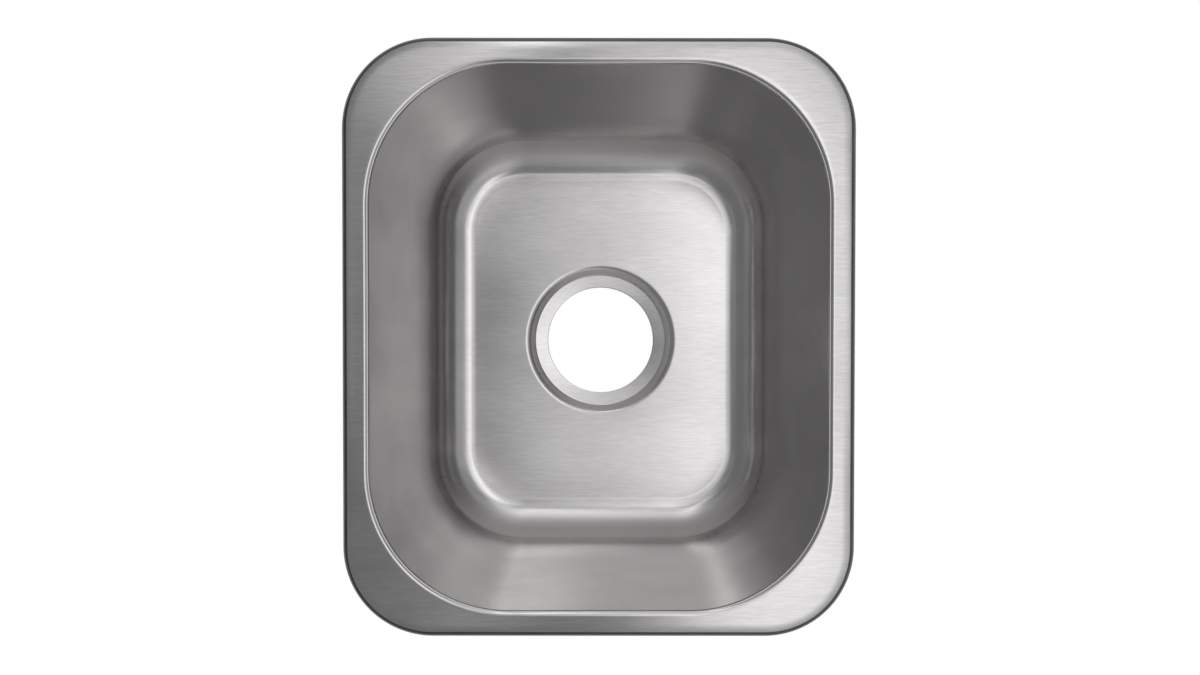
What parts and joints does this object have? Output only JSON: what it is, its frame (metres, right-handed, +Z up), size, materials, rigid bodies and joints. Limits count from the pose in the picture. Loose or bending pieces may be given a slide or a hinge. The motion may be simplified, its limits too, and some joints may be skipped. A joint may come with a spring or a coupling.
{
  "type": "drop-in bar sink",
  "caption": "Rectangular drop-in stainless bar sink: deep tapered bowl, recessed drain seat, turned-down rim, and hold-down clips that slide on rails and clamp it to a counter.",
  "frame": {"origin": "centre of the counter cut-out, on the counter's top, which is the plane of the rim's lower edge", "axes": "+Z up out of the bowl, +Y to the rear along the sink's longer side, +X to the right"},
  "size_m": [0.324, 0.378, 0.1607],
  "materials": {
    "satin_stainless": "fine brushed satin",
    "rail_steel": "plain mill finish",
    "zinc_plated_steel": "bright zinc plate",
    "pad_rubber": "matt",
    "seal_rubber": "matt"
  },
  "bodies": {
    "sink": {"sink_shell": "satin_stainless", "rim_seal": "seal_rubber", "right_rail": "rail_steel", "right_wall_pad": "pad_rubber", "rear_rail": "rail_steel", "rear_wall_pad": "pad_rubber", "left_rail": "rail_steel", "left_wall_pad": "pad_rubber", "front_rail": "rail_steel", "front_wall_pad": "pad_rubber", "front_base_pad": "pad_rubber", "rear_base_pad": "pad_rubber"},
    "right_front_clip_bolt": {"right_front_clip_bolt": "zinc_plated_steel"},
    "right_front_clip_washer": {"right_front_clip_washer": "zinc_plated_steel"},
    "right_front_clip_claw": {"right_front_clip_claw": "zinc_plated_steel"},
    "right_front_clip_nut": {"right_front_clip_nut": "zinc_plated_steel"},
    "right_rear_clip_bolt": {"right_rear_clip_bolt": "zinc_plated_steel"},
    "right_rear_clip_washer": {"right_rear_clip_washer": "zinc_plated_steel"},
    "right_rear_clip_claw": {"right_rear_clip_claw": "zinc_plated_steel"},
    "right_rear_clip_nut": {"right_rear_clip_nut": "zinc_plated_steel"},
    "rear_clip_bolt": {"rear_clip_bolt": "zinc_plated_steel"},
    "rear_clip_washer": {"rear_clip_washer": "zinc_plated_steel"},
    "rear_clip_claw": {"rear_clip_claw": "zinc_plated_steel"},
    "rear_clip_nut": {"rear_clip_nut": "zinc_plated_steel"},
    "left_rear_clip_bolt": {"left_rear_clip_bolt": "zinc_plated_steel"},
    "left_rear_clip_washer": {"left_rear_clip_washer": "zinc_plated_steel"},
    "left_rear_clip_claw": {"left_rear_clip_claw": "zinc_plated_steel"},
    "left_rear_clip_nut": {"left_rear_clip_nut": "zinc_plated_steel"},
    "left_front_clip_bolt": {"left_front_clip_bolt": "zinc_plated_steel"},
    "left_front_clip_washer": {"left_front_clip_washer": "zinc_plated_steel"},
    "left_front_clip_claw": {"left_front_clip_claw": "zinc_plated_steel"},
    "left_front_clip_nut": {"left_front_clip_nut": "zinc_plated_steel"},
    "front_clip_bolt": {"front_clip_bolt": "zinc_plated_steel"},
    "front_clip_washer": {"front_clip_washer": "zinc_plated_steel"},
    "front_clip_claw": {"front_clip_claw": "zinc_plated_steel"},
    "front_clip_nut": {"front_clip_nut": "zinc_plated_steel"}
  },
  "joints": [
    {"name": "right_front_clip_slide", "type": "slide", "parent": "sink", "child": "right_front_clip_bolt", "axis": [0, 1, 0], "range_m": [-0.024, 0.016]},
    {"name": "right_front_clip_lift", "type": "slide", "parent": "right_front_clip_bolt", "child": "right_front_clip_washer", "axis": [0, 0, 1], "range_m": [-0.0098, 0.0189]},
    {"name": "right_front_clip_swing", "type": "hinge", "parent": "right_front_clip_washer", "child": "right_front_clip_claw", "pos_m": [0.15019, -0.048, -0.043], "axis": [0, 0, 1], "range_deg": [0, 180]},
    {"name": "right_front_clip_nut_turn", "type": "hinge", "parent": "right_front_clip_washer", "child": "right_front_clip_nut", "pos_m": [0.15019, -0.048, -0.043], "axis": [0, 0, 1], "range_deg": [-5045, 9725]},
    {"name": "right_rear_clip_slide", "type": "slide", "parent": "sink", "child": "right_rear_clip_bolt", "axis": [0, 1, 0], "range_m": [-0.016, 0.024]},
    {"name": "right_rear_clip_lift", "type": "slide", "parent": "right_rear_clip_bolt", "child": "right_rear_clip_washer", "axis": [0, 0, 1], "range_m": [-0.0098, 0.0189]},
    {"name": "right_rear_clip_swing", "type": "hinge", "parent": "right_rear_clip_washer", "child": "right_rear_clip_claw", "pos_m": [0.15019, 0.048, -0.043], "axis": [0, 0, -1], "range_deg": [0, 180]},
    {"name": "right_rear_clip_nut_turn", "type": "hinge", "parent": "right_rear_clip_washer", "child": "right_rear_clip_nut", "pos_m": [0.15019, 0.048, -0.043], "axis": [0, 0, 1], "range_deg": [-5045, 9725]},
    {"name": "rear_clip_slide", "type": "slide", "parent": "sink", "child": "rear_clip_bolt", "axis": [1, 0, 0], "range_m": [-0.05, 0.05]},
    {"name": "rear_clip_lift", "type": "slide", "parent": "rear_clip_bolt", "child": "rear_clip_washer", "axis": [0, 0, 1], "range_m": [-0.0098, 0.0189]},
    {"name": "rear_clip_swing", "type": "hinge", "parent": "rear_clip_washer", "child": "rear_clip_claw", "pos_m": [0, 0.17736, -0.043], "axis": [0, 0, -1], "range_deg": [0, 180]},
    {"name": "rear_clip_nut_turn", "type": "hinge", "parent": "rear_clip_washer", "child": "rear_clip_nut", "pos_m": [0, 0.17736, -0.043], "axis": [0, 0, 1], "range_deg": [-5045, 9725]},
    {"name": "left_rear_clip_slide", "type": "slide", "parent": "sink", "child": "left_rear_clip_bolt", "axis": [0, 1, 0], "range_m": [-0.016, 0.024]},
    {"name": "left_rear_clip_lift", "type": "slide", "parent": "left_rear_clip_bolt", "child": "left_rear_clip_washer", "axis": [0, 0, 1], "range_m": [-0.0098, 0.0189]},
    {"name": "left_rear_clip_swing", "type": "hinge", "parent": "left_rear_clip_washer", "child": "left_rear_clip_claw", "pos_m": [-0.15019, 0.048, -0.043], "axis": [0, 0, 1], "range_deg": [0, 180]},
    {"name": "left_rear_clip_nut_turn", "type": "hinge", "parent": "left_rear_clip_washer", "child": "left_rear_clip_nut", "pos_m": [-0.15019, 0.048, -0.043], "axis": [0, 0, 1], "range_deg": [-5045, 9725]},
    {"name": "left_front_clip_slide", "type": "slide", "parent": "sink", "child": "left_front_clip_bolt", "axis": [0, 1, 0], "range_m": [-0.024, 0.016]},
    {"name": "left_front_clip_lift", "type": "slide", "parent": "left_front_clip_bolt", "child": "left_front_clip_washer", "axis": [0, 0, 1], "range_m": [-0.0098, 0.0189]},
    {"name": "left_front_clip_swing", "type": "hinge", "parent": "left_front_clip_washer", "child": "left_front_clip_claw", "pos_m": [-0.15019, -0.048, -0.043], "axis": [0, 0, -1], "range_deg": [0, 180]},
    {"name": "left_front_clip_nut_turn", "type": "hinge", "parent": "left_front_clip_washer", "child": "left_front_clip_nut", "pos_m": [-0.15019, -0.048, -0.043], "axis": [0, 0, 1], "range_deg": [-5045, 9725]},
    {"name": "front_clip_slide", "type": "slide", "parent": "sink", "child": "front_clip_bolt", "axis": [1, 0, 0], "range_m": [-0.05, 0.05]},
    {"name": "front_clip_lift", "type": "slide", "parent": "front_clip_bolt", "child": "front_clip_washer", "axis": [0, 0, 1], "range_m": [-0.0098, 0.0189]},
    {"name": "front_clip_swing", "type": "hinge", "parent": "front_clip_washer", "child": "front_clip_claw", "pos_m": [0, -0.17736, -0.043], "axis": [0, 0, -1], "range_deg": [0, 180]},
    {"name": "front_clip_nut_turn", "type": "hinge", "parent": "front_clip_washer", "child": "front_clip_nut", "pos_m": [0, -0.17736, -0.043], "axis": [0, 0, 1], "range_deg": [-5045, 9725]}
  ],
  "couplings": [
    {"joint": "right_front_clip_nut_turn", "follows": "right_front_clip_lift", "rad_per_m": 8976},
    {"joint": "right_rear_clip_nut_turn", "follows": "right_rear_clip_lift", "rad_per_m": 8976},
    {"joint": "rear_clip_nut_turn", "follows": "rear_clip_lift", "rad_per_m": 8976},
    {"joint": "left_rear_clip_nut_turn", "follows": "left_rear_clip_lift", "rad_per_m": 8976},
    {"joint": "left_front_clip_nut_turn", "follows": "left_front_clip_lift", "rad_per_m": 8976},
    {"joint": "front_clip_nut_turn", "follows": "front_clip_lift", "rad_per_m": 8976}
  ]
}
